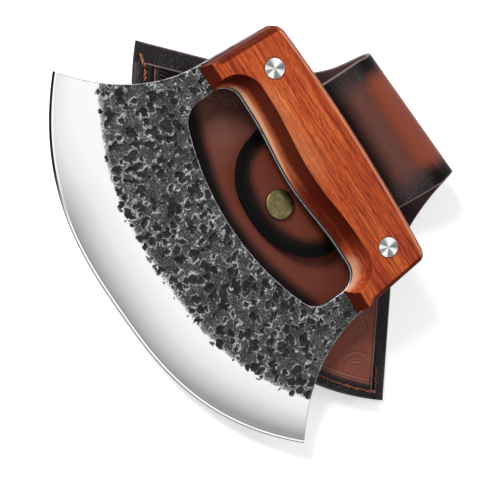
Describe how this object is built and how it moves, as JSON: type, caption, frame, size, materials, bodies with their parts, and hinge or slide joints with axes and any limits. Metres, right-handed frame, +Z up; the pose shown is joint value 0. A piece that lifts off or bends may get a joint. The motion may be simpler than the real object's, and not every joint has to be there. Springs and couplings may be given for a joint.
{
  "type": "ulu knife",
  "caption": "Crescent-bladed ulu knife with a riveted wooden handle over a finger window, lying on its leather sheath with a snap-closed strap.",
  "frame": {"origin": "on the table under the sheath's centre line, level with the two pouch corners", "axes": "+X along the handle and the pouch's width, +Y from the cutting edge towards the fold of the strap, +Z up from the table"},
  "size_m": [0.2027, 0.1626, 0.033],
  "materials": {
    "forged_steel": "hammered and blackened, with a polished band beside the edge",
    "handle_wood": "satin oiled",
    "rivet_steel": "turned bright",
    "tooled_leather": "waxed, burnished dark at the edges",
    "edge_leather": "raw cut edge, stained",
    "waxed_thread": "waxed",
    "aged_brass": "antiqued"
  },
  "bodies": {
    "sheath": {"back_panel": "tooled_leather", "front_panel": "tooled_leather", "welt": "edge_leather", "stitching": "waxed_thread", "snap_stud": "aged_brass", "snap_eyelet": "aged_brass"},
    "flap": {"closure_flap": "tooled_leather", "snap_cap": "aged_brass", "snap_socket": "aged_brass"},
    "knife": {"blade": "forged_steel", "front_scale": "handle_wood", "back_scale": "handle_wood", "rivet_front_left": "rivet_steel", "rivet_back_left": "rivet_steel", "rivet_front_right": "rivet_steel", "rivet_back_right": "rivet_steel"}
  },
  "joints": [
    {"name": "flap_hinge", "type": "hinge", "parent": "sheath", "child": "flap", "pos_m": [-0.0016, 0.0755, 0.02], "axis": [-0.9989, -0.0471, 0], "range_deg": [0, 110]},
    {"name": "knife_lift", "type": "slide", "parent": "flap", "child": "knife", "axis": [0, 0, 1], "range_m": [0, 0.06]}
  ]
}
